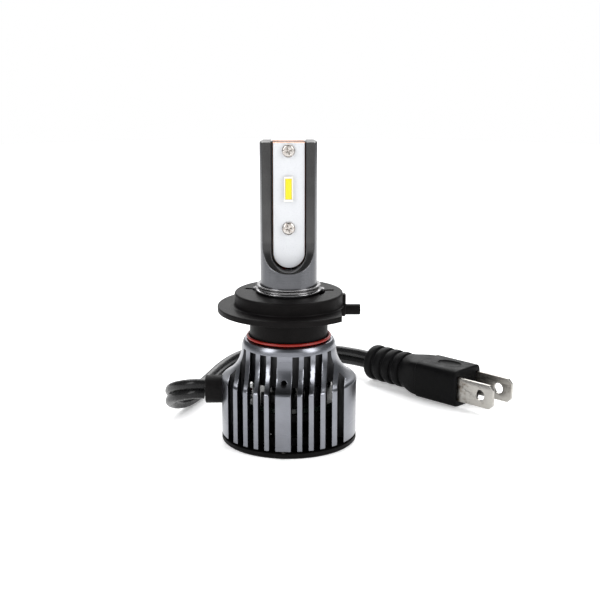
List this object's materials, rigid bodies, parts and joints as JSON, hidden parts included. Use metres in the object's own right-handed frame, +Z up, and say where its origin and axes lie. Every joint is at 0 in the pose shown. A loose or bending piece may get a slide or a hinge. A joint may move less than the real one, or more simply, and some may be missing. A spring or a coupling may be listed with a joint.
{
  "type": "headlight bulb",
  "caption": "Plug-in LED headlight bulb: flat lit post, twist-off base adapter, finned heat sink with a fan inside, and a short lead to a two-blade plug.",
  "frame": {"origin": "middle of the end cover's flat underside, on the bulb's own axis", "axes": "+Z up along the bulb's axis from the end cover to the tip of the post; -Y is the side of the front LED; the locating pin points along +X"},
  "size_m": [0.0907, 0.0863, 0.0727],
  "materials": {
    "anodised_grey": "satin turned and anodised",
    "black_plastic": "moulded, fine grain",
    "dark_steel": "black oxide",
    "green_board": "solder mask",
    "ferrite": "matt moulded",
    "bright_nickel": "plated, lightly brushed",
    "red_insulation": "smooth",
    "black_insulation": "smooth",
    "bronze": "sintered",
    "polished_steel": "polished",
    "white_board": "white solder mask on copper",
    "white_ceramic": "fired ceramic",
    "phosphor": "yellow silicone phosphor",
    "red_silicone": "smooth silicone",
    "black_rubber": "smooth moulded",
    "black_cable": "extruded, slight gloss",
    "black_plug": "moulded, fine grain",
    "copper": "enamelled wire"
  },
  "bodies": {
    "root": {"heat_sink": "anodised_grey", "end_cover": "black_plastic", "cover_screw_1": "bright_nickel", "cover_screw_2": "bright_nickel", "cover_screw_3": "bright_nickel", "cover_screw_4": "bright_nickel", "grub_screw": "dark_steel", "driver_board": "green_board", "driver_inductor": "ferrite", "driver_capacitor": "bright_nickel", "driver_chip": "ferrite", "driver_diode": "ferrite", "supply_wire_red": "red_insulation", "supply_wire_black": "black_insulation", "led_wire_front_red": "red_insulation", "led_wire_front_black": "black_insulation", "led_wire_rear_red": "red_insulation", "led_wire_rear_black": "black_insulation", "fan_frame": "black_plastic", "fan_sleeve": "bronze", "fan_core": "dark_steel", "fan_coil_1": "copper", "fan_coil_2": "copper", "fan_coil_3": "copper", "fan_coil_4": "copper", "fan_circuit": "green_board", "fan_lead_red": "red_insulation", "fan_lead_black": "black_insulation", "lamp_post": "anodised_grey", "locking_collar": "polished_steel", "led_board_front": "white_board", "led_board_rear": "white_board", "led_package_front": "white_ceramic", "led_package_rear": "white_ceramic", "led_phosphor_front": "phosphor", "led_phosphor_rear": "phosphor", "board_screw_front_lower": "bright_nickel", "board_screw_front_upper": "bright_nickel", "board_screw_rear_lower": "bright_nickel", "board_screw_rear_upper": "bright_nickel", "neck_seal": "red_silicone", "cable_gland": "black_rubber", "supply_cord": "black_cable", "plug_body": "black_plug", "plug_prong_near": "bright_nickel", "plug_prong_far": "bright_nickel"},
    "fan_rotor": {"fan_impeller": "black_plastic", "fan_magnet": "ferrite", "fan_shaft": "polished_steel", "fan_washer": "white_ceramic"},
    "adapter": {"base_adapter": "black_plastic"}
  },
  "joints": [
    {"name": "fan_spin", "type": "hinge", "parent": "root", "child": "fan_rotor", "pos_m": [0, 0, 0.0045], "axis": [0, 0, 1], "continuous": true},
    {"name": "adapter_twist", "type": "hinge", "parent": "root", "child": "adapter", "pos_m": [0, 0, 0.0335], "axis": [0, 0, 1], "range_deg": [0, 25]}
  ]
}
